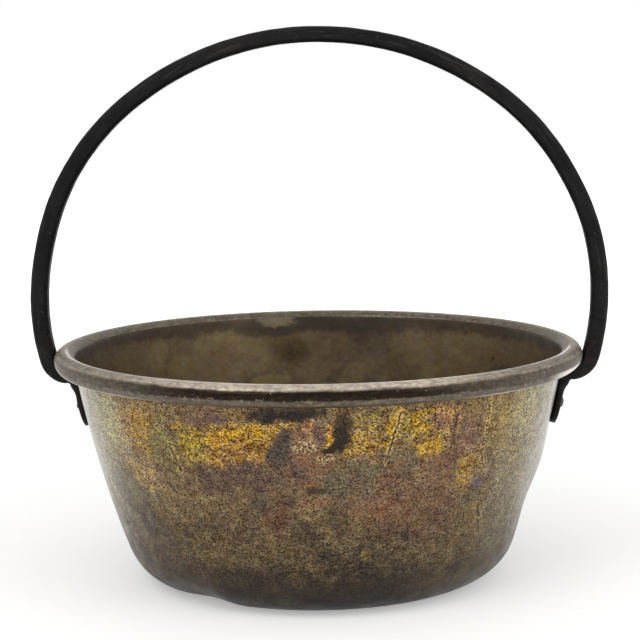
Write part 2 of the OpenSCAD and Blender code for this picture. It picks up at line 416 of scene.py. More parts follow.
def makeHandle():
    rows = handlePath()
    # a straight bar along X first: its section, then row after row
    deselectAll()
    around = 24
    bpy.ops.mesh.primitive_circle_add(vertices=around, radius=handle["cornerRound"], fill_type="NOTHING",
                                      rotation=(0, math.radians(90), 0))
    piece = startPiece("archedHandle")
    bpy.ops.object.mode_set(mode="OBJECT")
    bpy.ops.object.transform_apply(location=False, rotation=True, scale=False)
    bpy.ops.object.mode_set(mode="EDIT")
    halfStep = math.radians(180 / around)
    bpy.ops.mesh.select_all(action="SELECT")
    bpy.ops.transform.rotate(value=halfStep, orient_axis="X", center_override=(0, 0, 0))
    flatThick = rows[0][1] / 2 - handle["cornerRound"]
    flatWide = rows[0][2] / 2 - handle["cornerRound"]
    for sideY in (-1, 1):
        for sideZ in (-1, 1):
            choose(piece, lambda co: co.y * sideY > 0 and co.z * sideZ > 0)
            bpy.ops.transform.translate(value=(0, sideY * flatThick, sideZ * flatWide))
            choose(piece, lambda co: False)
    bpy.ops.mesh.select_all(action="SELECT")
    length = 0
    lastThick, lastWide = rows[0][1], rows[0][2]
    for (here, _, _), (there, rowThick, rowWide) in zip(rows, rows[1:]):
        step = (there - here).length
        length += step
        bpy.ops.mesh.extrude_region_move(TRANSFORM_OT_translate={"value": (step, 0, 0)})
        if abs(rowThick - lastThick) > 1e-6 or abs(rowWide - lastWide) > 1e-6:
            widen(piece, length, rowThick / lastThick, rowWide, lastWide)
        lastThick, lastWide = rowThick, rowWide
    bpy.ops.mesh.edge_face_add()
    bpy.ops.object.mode_set(mode="OBJECT")
    bendAlong(piece, [point for point, _, _ in rows])
    bpy.ops.object.mode_set(mode="EDIT")
    bpy.ops.mesh.select_all(action="SELECT")
    bpy.ops.mesh.normals_make_consistent(inside=False)
    bpy.ops.object.mode_set(mode="OBJECT")
    other = piece.modifiers.new("otherHalf", "MIRROR")
    other.use_axis = (True, False, False)
    other.merge_threshold = 0.0003
    smooth = piece.modifiers.new("smooth", "SUBSURF")
    smooth.levels = 1
    smooth.render_levels = 1
    for name, size, share in (("broad", 0.05, 1), ("narrow", 0.009, 0.4), ("fine", 0.003, 0.16)):
        cloud = bpy.data.textures.new("forged" + name, "CLOUDS")
        cloud.noise_scale = size
        cloud.cloud_type = "COLOR"
        forged = piece.modifiers.new(name, "DISPLACE")
        forged.texture = cloud
        forged.texture_coords = "LOCAL"
        forged.direction = "RGB_TO_XYZ"
        forged.mid_level = 0.5
        forged.strength = handle["forged"] * share
    applyAll(piece)
    bpy.ops.object.mode_set(mode="EDIT")
    for bend in bends:
        pushAside(piece, bend)
    bpy.ops.object.mode_set(mode="OBJECT")
    bpy.ops.object.shade_smooth()
    return piece


def widen(piece, length, thickShare, wide, lastWide):
    # the row at the bar's end: thinner or thicker in Y, and its two halves moved apart in Z
    bpy.ops.transform.resize(value=(1, thickShare, 1), center_override=(length, 0, 0))
    move = (wide - lastWide) / 2
    near = length - 0.0002
    if wide < 2 * handle["cornerRound"] + 0.001 or lastWide < 2 * handle["cornerRound"] + 0.001:
        bpy.ops.transform.resize(value=(1, 1, wide / lastWide), center_override=(length, 0, 0))
        return
    for side in (-1, 1):
        choose(piece, lambda co: co.x > near and co.z * side > 0)
        bpy.ops.transform.translate(value=(0, 0, side * move))
    choose(piece, lambda co: co.x > near)


def bendAlong(piece, points):
    # bends a straight bar along a flat path, then stands path and bar up
    path = bpy.data.curves.new("path", "CURVE")
    path.dimensions = "2D"
    line = path.splines.new("POLY")
    line.points.add(len(points) - 1)
    for spot, point in zip(line.points, points):
        spot.co = (point.x, point.y, 0, 1)
    guide = bpy.data.objects.new("path", path)
    bpy.context.scene.collection.objects.link(guide)
    bend = piece.modifiers.new("bend", "CURVE")
    bend.object = guide
    bend.deform_axis = "POS_X"
    bpy.context.view_layer.update()
    applyAll(piece)
    bpy.data.objects.remove(guide)
    piece.rotation_euler = (math.radians(90), 0, 0)
    deselectAll()
    piece.select_set(True)
    bpy.context.view_layer.objects.active = piece
    bpy.ops.object.transform_apply(location=True, rotation=True, scale=True)


# the rivets, in metres
rivet = {
    "height": 0.108,
    "shank": 0.004,
    "head": 0.008,
    "headHigh": 0.0026,
    "tail": 0.009,
    "tailHigh": 0.0016,
    "hammered": 0.0004,
}


def rivetOutline():
    seat = handle["strapGap"] + handle["strapThick"]
    head, high, shank = rivet["head"] / 2, rivet["headHigh"], rivet["shank"] / 2
    tail, tailHigh, sheet = rivet["tail"] / 2, rivet["tailHigh"], pan["sheet"]
    dome = (head ** 2 + high ** 2) / (2 * high)
    half = math.degrees(math.asin(head / dome))
    points = [Vector((0, -sheet - tailHigh)), Vector((tail - 0.0016, -sheet - tailHigh))]
    points += arc((tail - 0.0012, -sheet - tailHigh + 0.0012), 0.0012, -70, 0, 4)
    points += [Vector((tail, -sheet)), Vector((shank, -sheet)), Vector((shank, seat))]
    points += arc((0, seat + high - dome), dome, 90 - half, 90, 12)
    return points


def makeRivet(name, side, seed):
    piece = drawOutline(name, rivetOutline())
    spinRound(32)
    # hammer marks: the dome is pressed flat here and there
    marks = random.Random(seed)
    top = handle["strapGap"] + handle["strapThick"] + rivet["headHigh"]
    for mark in range(7):
        turn, out = marks.uniform(0, 2 * math.pi), marks.uniform(0.0008, 0.0030)
        place = Vector((out * math.cos(turn), out * math.sin(turn), top))
        mesh = bmesh.from_edit_mesh(piece.data)
        nearest = min(mesh.verts, key=lambda vert: (vert.co - place).length)
        for vert in mesh.verts:
            vert.select = vert is nearest
        mesh.select_flush_mode()
        bmesh.update_edit_mesh(piece.data)
        bpy.ops.transform.translate(value=(0, 0, -rivet["hammered"] * marks.uniform(0.4, 1)),
                                    use_proportional_edit=True, proportional_edit_falloff="SPHERE",
                                    proportional_size=0.0016)
    bpy.ops.object.mode_set(mode="OBJECT")
    lean = wallLean(rivet["height"])
    piece.rotation_euler = (0, side * (math.radians(90) + lean), 0)
    piece.location = (side * wallRadius(rivet["height"]), 0, rivet["height"])
    deselectAll()
    piece.select_set(True)
    bpy.context.view_layer.objects.active = piece
    bpy.ops.object.transform_apply(location=True, rotation=True, scale=True)
    bpy.ops.object.shade_smooth()
    return piece


panPiece, panFinishes = makePan()
print("pan modelled,", len(panPiece.data.polygons), "faces")
handlePiece = makeHandle()
print("handle modelled,", len(handlePiece.data.polygons), "faces")
rivetPieces = [makeRivet("rivetLeft", -1, 3), makeRivet("rivetRight", 1, 8)]
print("rivets modelled")


# small helpers for materials

def link(tree, socket, value):
    if isinstance(value, bpy.types.NodeSocket):
        tree.links.new(value, socket)
    elif value is not None:
        socket.default_value = value


def put(tree, kind, inputs=None, **settings):
    # adds a node, sets its choices, then its inputs by name or number
    step = tree.nodes.new(kind)
    for name, value in settings.items():
        setattr(step, name, value)
    for name, value in (inputs or {}).items():
        link(tree, step.inputs[name], value)
    return step


def calc(tree, operation, first, second=None, third=None, clamp=False):
    step = put(tree, "ShaderNodeMath", {0: first, 1: second, 2: third}, operation=operation, use_clamp=clamp)
    return step.outputs[0]


def blend(tree, share, under, over, mode="MIX"):
    step = put(tree, "ShaderNodeMix", data_type="RGBA", blend_type=mode)
    link(tree, step.inputs[0], share)
    link(tree, step.inputs[6], under)
    link(tree, step.inputs[7], over)
    return step.outputs[2]


def ramp(tree, value, low, high, toLow=0, toHigh=1):
    step = put(tree, "ShaderNodeMapRange", {0: value, 1: low, 2: high, 3: toLow, 4: toHigh},
               interpolation_type="SMOOTHSTEP", clamp=False)
    return step.outputs[0]


def noise(tree, point, scale, detail=2, rough=0.5, distortion=0):
    step = put(tree, "ShaderNodeTexNoise",
               {"Vector": point, "Scale": scale, "Detail": detail, "Roughness": rough, "Distortion": distortion})
    return step.outputs[0]


def newGroup(name, takes, gives):
    # a node group with named inputs and outputs: takes and gives are lists of (name, kind)
    tree = bpy.data.node_groups.new(name, "ShaderNodeTree")
    for label, kind in takes:
        tree.interface.new_socket(label, in_out="INPUT", socket_type="NodeSocket" + kind)
    for label, kind in gives:
        tree.interface.new_socket(label, in_out="OUTPUT", socket_type="NodeSocket" + kind)
    return tree, tree.nodes.new("NodeGroupInput").outputs, tree.nodes.new("NodeGroupOutput").inputs


def use(tree, group, **inputs):
    # places a group and returns its outputs
    step = tree.nodes.new("ShaderNodeGroup")
    step.node_tree = group
    for name, value in inputs.items():
        link(tree, step.inputs[name], value)
    return step.outputs


def tone(red, green, blue):
    # a colour as it shows on a screen, 0 to 255, as the linear value that a node takes
    linear = []
    for part in (red, green, blue):
        part /= 255
        linear.append(part / 12.92 if part <= 0.04045 else ((part + 0.055) / 1.055) ** 2.4)
    return (*linear, 1)


def groupUnrolled():
    # a place on the pan laid flat: along the wall from the front, in metres, and the height
    tree, taken, given = newGroup("unrolled", [("Point", "Vector")],
                                  [("Place", "Vector"), ("Radius", "Float"), ("Height", "Float")])
    parts = put(tree, "ShaderNodeSeparateXYZ", {0: taken["Point"]}).outputs
    back = calc(tree, "MULTIPLY", parts[1], -1.0)
    along = calc(tree, "MULTIPLY", calc(tree, "ARCTAN2", parts[0], back), pan["unrolled"])
    place = put(tree, "ShaderNodeCombineXYZ", {0: along, 1: parts[2]}).outputs[0]
    tree.links.new(place, given["Place"])
    level = put(tree, "ShaderNodeCombineXYZ", {0: parts[0], 1: parts[1]}).outputs[0]
    radius = put(tree, "ShaderNodeVectorMath", {0: level}, operation="LENGTH").outputs["Value"]
    tree.links.new(radius, given["Radius"])
    tree.links.new(parts[2], given["Height"])
    return tree


def groupWander():
    # pushes a flat place about, so that what is placed there gets a ragged edge
    tree, taken, given = newGroup("wander", [("Place", "Vector"), ("Point", "Vector"), ("Scale", "Float"),
                                            ("Reach", "Float")], [("Place", "Vector")])
    cloud = put(tree, "ShaderNodeTexNoise", {"Vector": taken["Point"], "Scale": taken["Scale"], "Detail": 4.0,
                                             "Roughness": 0.6})
    middle = put(tree, "ShaderNodeVectorMath", {0: cloud.outputs[1], 1: (0.5, 0.5, 0.5)}, operation="SUBTRACT")
    push = put(tree, "ShaderNodeVectorMath", {0: middle.outputs[0], "Scale": taken["Reach"]}, operation="SCALE")
    moved = put(tree, "ShaderNodeVectorMath", {0: taken["Place"], 1: push.outputs[0]}, operation="ADD")
    tree.links.new(moved.outputs[0], given["Place"])
    return tree


def groupStain():
    # an oval at a flat place, whose edge breaks up into grains
    tree, taken, given = newGroup(
        "stain", [("Place", "Vector"), ("Centre", "Vector"), ("Half size", "Vector"), ("Tilt", "Float"),
                  ("Edge", "Float"), ("Grit", "Float")], [("Mask", "Float")])
    away = put(tree, "ShaderNodeVectorMath", {0: taken["Place"], 1: taken["Centre"]}, operation="SUBTRACT")
    turned = put(tree, "ShaderNodeVectorRotate", {"Vector": away.outputs[0], "Angle": taken["Tilt"]},
                 rotation_type="Z_AXIS")
    share = put(tree, "ShaderNodeVectorMath", {0: turned.outputs[0], 1: taken["Half size"]}, operation="DIVIDE")
    flat = put(tree, "ShaderNodeVectorMath", {0: share.outputs[0], 1: (1, 1, 0)}, operation="MULTIPLY")
    far = put(tree, "ShaderNodeVectorMath", {0: flat.outputs[0]}, operation="LENGTH").outputs["Value"]
    out = calc(tree, "DIVIDE", calc(tree, "SUBTRACT", far, 1.0), taken["Edge"])
    grit = calc(tree, "MULTIPLY", calc(tree, "SUBTRACT", taken["Grit"], 0.5), 4.0)
    mask = ramp(tree, calc(tree, "SUBTRACT", grit, out), -0.55, 0.55)
    tree.links.new(mask, given["Mask"])
    return tree


def groupStroke():
    # a line from one flat place to another, with a wider band along it
    tree, taken, given = newGroup(
        "stroke", [("Place", "Vector"), ("From", "Vector"), ("Span", "Vector"), ("Width", "Float")],
        [("Line", "Float"), ("Band", "Float")])
    flat = put(tree, "ShaderNodeVectorMath", {0: taken["Place"], 1: (1, 1, 0)}, operation="MULTIPLY").outputs[0]
    away = put(tree, "ShaderNodeVectorMath", {0: flat, 1: taken["From"]}, operation="SUBTRACT").outputs[0]
    along = put(tree, "ShaderNodeVectorMath", {0: away, 1: taken["Span"]}, operation="DOT_PRODUCT").outputs["Value"]
    whole = put(tree, "ShaderNodeVectorMath", {0: taken["Span"], 1: taken["Span"]}, operation="DOT_PRODUCT")
    share = calc(tree, "DIVIDE", along, whole.outputs["Value"])
    share = calc(tree, "MINIMUM", calc(tree, "MAXIMUM", share, 0.0), 1.0)
    foot = put(tree, "ShaderNodeVectorMath", {0: taken["Span"], "Scale": share}, operation="SCALE").outputs[0]
    off = put(tree, "ShaderNodeVectorMath", {0: away, 1: foot}, operation="DISTANCE").outputs["Value"]
    wide = calc(tree, "DIVIDE", off, taken["Width"])
    tree.links.new(ramp(tree, wide, 1.0, 0.3), given["Line"])
    tree.links.new(ramp(tree, wide, 4.5, 1.5), given["Band"])
    return tree


def groupMottle():
    # cloudy mask with a chosen cover
    tree, taken, given = newGroup("mottle", [("Point", "Vector"), ("Scale", "Float"), ("Low", "Float"),
                                            ("High", "Float")], [("Mask", "Float")])
    cloud = put(tree, "ShaderNodeTexNoise", {"Vector": taken["Point"], "Scale": taken["Scale"], "Detail": 6.0,
                                             "Roughness": 0.62, "Distortion": 0.3})
    tree.links.new(ramp(tree, cloud.outputs[0], taken["Low"], taken["High"]), given["Mask"])
    return tree


def groupScratches():
    # long thin lines: the contours of a cloud stretched along one direction
    tree, taken, given = newGroup("scratches", [("Place", "Vector"), ("Tilt", "Float"), ("Scale", "Float"),
                                               ("Stretch", "Float"), ("Width", "Float")], [("Mask", "Float")])
    turned = put(tree, "ShaderNodeVectorRotate", {"Vector": taken["Place"], "Angle": taken["Tilt"]},
                 rotation_type="Z_AXIS")
    size = put(tree, "ShaderNodeCombineXYZ", {0: 1.0, 1: taken["Stretch"], 2: 1.0})
    drawn = put(tree, "ShaderNodeVectorMath", {0: turned.outputs[0], 1: size.outputs[0]}, operation="MULTIPLY")
    cloud = put(tree, "ShaderNodeTexNoise", {"Vector": drawn.outputs[0], "Scale": taken["Scale"], "Detail": 3.0,
                                             "Roughness": 0.55})
    off = calc(tree, "ABSOLUTE", calc(tree, "SUBTRACT", cloud.outputs[0], 0.5))
    line = put(tree, "ShaderNodeMapRange", {0: off, 1: taken["Width"], 2: 0.0, 3: 0.0, 4: 1.0})
    # most of each line is rubbed away again
    left = put(tree, "ShaderNodeTexNoise", {"Vector": taken["Place"], "Scale": 45.0, "Detail": 2.0})
    kept = put(tree, "ShaderNodeMapRange", {0: left.outputs[0], 1: 0.52, 2: 0.66, 3: 0.0, 4: 1.0})
    tree.links.new(calc(tree, "MULTIPLY", line.outputs[0], kept.outputs[0]), given["Mask"])
    return tree


def groupSpecks():
    # fine pits and grains, with a size and a cover
    tree, taken, given = newGroup("specks", [("Point", "Vector"), ("Scale", "Float"), ("Cover", "Float")],
                                  [("Mask", "Float")])
    grain = put(tree, "ShaderNodeTexNoise", {"Vector": taken["Point"], "Scale": taken["Scale"], "Detail": 2.0,
                                             "Roughness": 0.7})
    start = calc(tree, "SUBTRACT", 1.0, taken["Cover"])
    mask = put(tree, "ShaderNodeMapRange", {0: grain.outputs[0], 1: start, 2: calc(tree, "ADD", start, 0.08),
                                            3: 0.0, 4: 1.0})
    tree.links.new(mask.outputs[0], given["Mask"])
    return tree


def groupBrokenTone():
    # lightens and darkens a colour in fine grains, a little wider than they are high
    tree, taken, given = newGroup("brokenTone", [("Colour", "Color"), ("Point", "Vector"), ("Scale", "Float"),
                                                ("Contrast", "Float")], [("Colour", "Color")])
    squat = put(tree, "ShaderNodeVectorMath", {0: taken["Point"], 1: (1, 1, 1.4)}, operation="MULTIPLY")
    cloud = put(tree, "ShaderNodeTexNoise", {"Vector": squat.outputs[0], "Scale": taken["Scale"], "Detail": 2.0,
                                             "Roughness": 0.8})
    off = calc(tree, "MULTIPLY", calc(tree, "SUBTRACT", cloud.outputs[0], 0.5), taken["Contrast"])
    # dark grains go further than light ones
    share = calc(tree, "MINIMUM", calc(tree, "MAXIMUM", calc(tree, "ADD", off, 0.53), 0.06), 0.78)
    broken = blend(tree, 1.0, taken["Colour"], share, "OVERLAY")
    # a little richer here and duller there, redder here and greener there
    drift = put(tree, "ShaderNodeSeparateColor", {0: cloud.outputs[1]}).outputs
    hue = ramp(tree, drift[0], 0.25, 0.75, 0.485, 0.515)
    rich = ramp(tree, drift[1], 0.25, 0.75, 0.86, 1.14)
    broken = put(tree, "ShaderNodeHueSaturation", {"Color": broken, "Hue": hue, "Saturation": rich}).outputs[0]
    tree.links.new(broken, given["Colour"])
    return tree


def groupCrackle():
    # the lines between small cells, as in a crazed skin
    tree, taken, given = newGroup("crackle", [("Point", "Vector"), ("Scale", "Float"), ("Width", "Float")],
                                  [("Mask", "Float")])
    cloud = put(tree, "ShaderNodeTexNoise", {"Vector": taken["Point"], "Scale": 300.0, "Detail": 2.0})
    push = put(tree, "ShaderNodeVectorMath", {0: cloud.outputs[1], "Scale": 0.004}, operation="SCALE")
    bent = put(tree, "ShaderNodeVectorMath", {0: taken["Point"], 1: push.outputs[0]}, operation="ADD").outputs[0]
    cells = put(tree, "ShaderNodeTexVoronoi", {"Vector": bent, "Scale": taken["Scale"]}, feature="DISTANCE_TO_EDGE")
    line = put(tree, "ShaderNodeMapRange", {0: cells.outputs["Distance"], 1: taken["Width"], 2: 0.0, 3: 0.0, 4: 1.0})
    tree.links.new(line.outputs[0], given["Mask"])
    return tree


unrolled, wander, stain, stroke = groupUnrolled(), groupWander(), groupStain(), groupStroke()
mottle, scratches, specks, brokenTone = groupMottle(), groupScratches(), groupSpecks(), groupBrokenTone()
crackle = groupCrackle()
print("shared effects built")

# colours of the old brass
brass = {
    "brown": tone(108, 87, 66),
    "darkBrown": tone(62, 52, 44),
    "purpleBrown": tone(88, 70, 59),
    # bandBrownShade and footBrownShade are the pan's dark brown with painted shade in it, for the foot of the wall and
    # the base
    "bandBrownShade": tone(49, 42, 36),
    "footBrownShade": tone(20, 17, 14),
    "olive": tone(122, 103, 73),
    "oliveGreen": tone(120, 108, 68),
    "greyOlive": tone(130, 115, 88),
    "oliveGold": tone(144, 119, 70),
    "tan": tone(150, 123, 84),
    "gold": tone(154, 117, 57),
    "brightGold": tone(176, 135, 55),
    "orangeGold": tone(152, 110, 55),
    "goldBrown": tone(120, 99, 66),
    "yellow": tone(153, 128, 55),
    "greenYellow": tone(162, 152, 112),
    "orange": tone(178, 126, 82),
    "copper": tone(116, 80, 58),
    "copperRed": tone(126, 90, 68),
    "redBrown": tone(114, 85, 64),
    "purple": tone(104, 80, 72),
    "purpleRed": tone(124, 93, 76),
    "darkGrey": tone(66, 58, 55),
    "greyGreen": tone(101, 90, 71),
    "blister": tone(104, 93, 94),
    # silverSheen is partly the pan's silver-grey patina and partly painted sheen
    "silverSheen": tone(154, 149, 133),
    "darkGreen": tone(60, 58, 42),
    "soot": tone(44, 36, 29),
    "pit": tone(64, 48, 35),
    "warm": tone(130, 104, 70),
    "paleOlive": tone(147, 135, 108),
    "goldCrescent": tone(196, 148, 76),
    "glint": tone(224, 186, 104),
    "paleGlint": tone(232, 198, 152),
    "crackEdge": tone(234, 198, 122),
}
# stains on the front: colour, degrees from the front, height, half sizes in mm, tilt, strength
stains = [
    ("paleOlive", -62.3, 98, 40, 42, 0, 0.9),
    ("paleOlive", 63.7, 92, 34, 54, 0, 0.85),
    # the silver zones at the left and right are partly silver-grey patina and partly painted sheen, the white
    # surroundings reflected at the grazing edges
    ("silverSheen", -84.3, 100, 46, 54, 0, 0.95),
    ("silverSheen", -82.3, 44, 40, 26, 0, 0.35),
    ("silverSheen", 85.7, 106, 44, 48, 0, 0.85),
    ("silverSheen", 81.7, 50, 40, 50, 0, 0.5),
    ("greyGreen", -52.3, 72, 22, 14, 0, 0.7),
    ("greenYellow", -54.3, 115, 15, 14, 0, 0.9),
    ("tan", -46.3, 113, 10, 12, 8, 0.85),
    ("gold", -41.3, 112, 11, 14, 6, 0.9),
    ("oliveGreen", -34.8, 108, 12, 16, 0, 0.85),
    ("tan", -45.3, 84, 17, 8, 35, 0.9),
    ("purpleBrown", -17.3, 90, 28, 10, 0, 0.95),
    ("goldBrown", -34.3, 63, 19, 13, 0, 0.6),
    ("goldBrown", -26.3, 70, 10, 8, 0, 0.7),
    ("goldBrown", -26.3, 45, 18, 9, 0, 0.75),
    ("goldBrown", -12.3, 43, 20, 8, 0, 0.85),
    ("brightGold", -17.3, 114, 28, 9, -4, 0.95),
    ("orangeGold", -17.3, 104, 22, 7, -8, 0.95),
    ("yellow", -27.3, 106, 7, 11, 10, 0.85),
    ("purple", -22.3, 124, 13, 5, 0, 0.85),
    ("copper", -0.3, 102, 9, 18, 0, 0.95),
    ("copper", 1.7, 99, 9, 10, 0, 0.9),
    ("purpleRed", -3.3, 101, 3, 12, 0, 0.75),
    ("darkGrey", -6.3, 107, 8, 11, 0, 0.92),
    ("darkGrey", -2.8, 93, 5, 5.5, 0, 0.85),
    ("orange", 0.2, 121, 4, 4, 0, 0.9),
    ("purple", 2.3, 116, 3, 7, 10, 0.95),
    ("goldCrescent", 4.3, 115, 2.4, 8, 22, 1),
    ("oliveGold", 14, 121, 11, 8, 0, 0.9),
    ("gold", 12.7, 111, 12, 7, 0, 0.95),
    ("purpleRed", 11.7, 101, 5, 4, 0, 0.8),
    ("gold", 16.7, 98, 11, 5, 0, 0.85),
    ("yellow", 23.7, 119, 11, 9, 0, 0.85),
    ("brightGold", 18.7, 120, 3, 11, 10, 0.9),
    ("orange", 30.7, 122, 9, 7, 0, 0.75),
    ("brightGold", 25, 119, 5, 13, 0, 0.7),
    ("purple", 29.7, 119, 5, 4, 0, 0.7),
    ("greyGreen", 12.7, 87, 27, 12, 0, 0.92),
    ("greyGreen", 19.7, 98, 13, 8, 0, 0.85),
    ("redBrown", 31.7, 92, 11, 12, 0, 0.85),
    ("brightGold", 28.5, 105, 9, 5, -15, 0.9),
    ("purpleRed", 37.7, 106, 8, 11, 0, 0.85),
    ("gold", 38.7, 88, 7, 10, 0, 0.85),
    ("oliveGold", 48.7, 113, 12, 14, 5, 0.8),
    ("greenYellow", 56.2, 117, 10, 14, 0, 0.95),
    ("greyOlive", 54.7, 80, 22, 20, 0, 0.7),
    ("greyOlive", 53.7, 45, 16, 20, 0, 0.6),
    ("blister", 42.7, 80, 4, 4, 0, 0.8),
    ("darkGrey", -12, 72, 5.5, 7, 0, 0.7),
    ("copper", -8.3, 67, 7, 12, 0, 0.7),
    ("copperRed", 1.7, 75, 10, 3, 0, 0.85),
    ("redBrown", 23.7, 76, 30, 20, 0, 0.75),
    ("copperRed", 16.7, 71, 18, 8, -12, 0.7),
    ("redBrown", 28.7, 65, 18, 15, 0, 0.8),
    ("goldBrown", 41.7, 53, 7, 12, 0, 0.8),
    ("goldBrown", 31.7, 38, 18, 8, 0, 0.5),
    ("oliveGold", 13.7, 40, 4, 3, 0, 0.8),
    # the dark patch just under the rim at the front is painted shadow below a pressed-in place
    ("soot", -5.3, 128, 20, 6, -3, 1),
    ("soot", 7.6, 123, 4.5, 7, 0, 0.85),
    ("soot", 6.9, 115, 5.5, 8, 15, 0.95),
    ("soot", 4.9, 108, 6.5, 3, -35, 0.95),
    ("soot", 1.7, 82, 8, 2.5, 5, 0.7),
    ("darkBrown", -1.3, 54, 8, 4, 0, 0.55),
    ("darkBrown", 4.7, 44, 9, 4, 0, 0.5),
    ("darkBrown", -12.3, 84, 3, 1.2, 0, 0.9),
]
# cracks, scratches and beads on the front: degrees and height of the two ends, width in mm, strength, bright edges
strokes = [
    (20.1, 127, 18.5, 111, 0.7, 0.9, 0.8),
    (18.5, 111, 17, 97, 0.6, 0.9, 0.6),
    (33.7, 122, 33.5, 116, 1.6, 0.8, 0.0),
    (33.7, 113, 35.3, 88, 1.0, 0.45, 0.0),
    (35.3, 88, 39.1, 31, 0.6, 0.4, 0.2),
    (42.9, 129, 43.1, 110, 0.6, 0.8, 0.85),
    (43.1, 110, 42.4, 98, 0.5, 0.85, 0.75),
    (42.4, 98, 44.7, 86, 0.6, 0.85, 0.6),
    (46.4, 43, 43.9, 31, 0.6, 0.9, 0.2),
    (43.9, 31, 41.3, 10, 0.6, 0.9, 0.0),
    (54.3, 129, 53.4, 117, 0.5, 0.6, 0.9),
    (8.3, 131, 7.5, 123, 0.9, 0.8, 0.0),
    (7, 111, 3.6, 105.5, 2.4, 0.95, 0.0),
    (45.2, 64, 46.3, 56, 1.4, 0.8, 0.3),
    (46.3, 54, 47.7, 46, 1.3, 0.7, 0.3),
    (40.6, 61, 40.9, 55, 0.9, 0.8, 0.0),
    (56.9, 46, 54.2, 40, 0.5, 0.7, 0.0),
    (-38.5, 119, -35.9, 111, 0.8, 0.7, 0.0),
    (-33.3, 107, -31.3, 90, 0.8, 0.7, 0.5),
    (-36.9, 93, -32.1, 86, 0.9, 0.7, 0.2),
    (-60.3, 64.6, -52.8, 57.5, 0.6, 0.8, 0.0),
    (-62.8, 76, -62.3, 72, 1.5, 0.5, 0.0),
    (-35.7, 81, -34.7, 78, 1.7, 0.7, 0.0),
    (-41.1, 66, -40.9, 65, 1.4, 0.8, 0.0),
    (-44.7, 58, -44.5, 57, 1.4, 0.8, 0.0),
    (-53.1, 34, -52.3, 28, 0.6, 0.7, 0.0),
    (-32.9, 49, -30.9, 46, 1.0, 0.6, 0.0),
    (-7.3, 76, -3.8, 72, 1.1, 0.7, 0.0),
]


def placeOf(angle, height):
    return (math.radians(angle) * pan["unrolled"], height / 1000, 0)


def panMaterial(name):
    material = bpy.data.materials.new(name)
    material.use_nodes = True
    tree = material.node_tree
    point = put(tree, "ShaderNodeTexCoord").outputs["Object"]
    return material, tree, tree.nodes["Principled BSDF"], point, use(tree, unrolled, Point=point)


def layStain(tree, colour, place, grit, row, edge):
    look, centre, halfWide, halfHigh, tilt, strength = row
    oval = tree.nodes.new("ShaderNodeGroup")
    oval.node_tree = stain
    link(tree, oval.inputs["Place"], place)
    link(tree, oval.inputs["Grit"], grit)
    oval.inputs["Centre"].default_value = centre
    oval.inputs["Half size"].default_value = (halfWide / 1000, halfHigh / 1000, 1)
    oval.inputs["Tilt"].default_value = math.radians(tilt)
    oval.inputs["Edge"].default_value = edge
    return blend(tree, calc(tree, "MULTIPLY", oval.outputs[0], strength), colour, look), oval.outputs[0]


def farFrom(tree, place, angle, height, halfWide, halfHigh):
    # 0 at a place on the wall, 1 on the oval round it
    away = put(tree, "ShaderNodeVectorMath", {0: place, 1: placeOf(angle, height)}, operation="SUBTRACT").outputs[0]
    size = (halfWide / 1000, halfHigh / 1000, 1)
    share = put(tree, "ShaderNodeVectorMath", {0: away, 1: size}, operation="DIVIDE").outputs[0]
    flat = put(tree, "ShaderNodeVectorMath", {0: share, 1: (1, 1, 0)}, operation="MULTIPLY").outputs[0]
    return put(tree, "ShaderNodeVectorMath", {0: flat}, operation="LENGTH").outputs["Value"]


def layStrokes(tree, place):
    # every crack, scratch and bead in one mask, and their bright edges in another
    lines = edges = None
    for startAngle, startHeight, endAngle, endHeight, width, strength, bright in strokes:
        start, end = Vector(placeOf(startAngle, startHeight)), Vector(placeOf(endAngle, endHeight))
        drawn = tree.nodes.new("ShaderNodeGroup")
        drawn.node_tree = stroke
        link(tree, drawn.inputs["Place"], place)
        drawn.inputs["From"].default_value = start
        drawn.inputs["Span"].default_value = end - start
        drawn.inputs["Width"].default_value = width / 1000
        line = calc(tree, "MULTIPLY", drawn.outputs["Line"], strength)
        lines = line if lines is None else calc(tree, "MAXIMUM", lines, line)
        if bright:
            band = calc(tree, "MULTIPLY", drawn.outputs["Band"], bright)
            edges = band if edges is None else calc(tree, "MAXIMUM", edges, band)
    return lines, edges


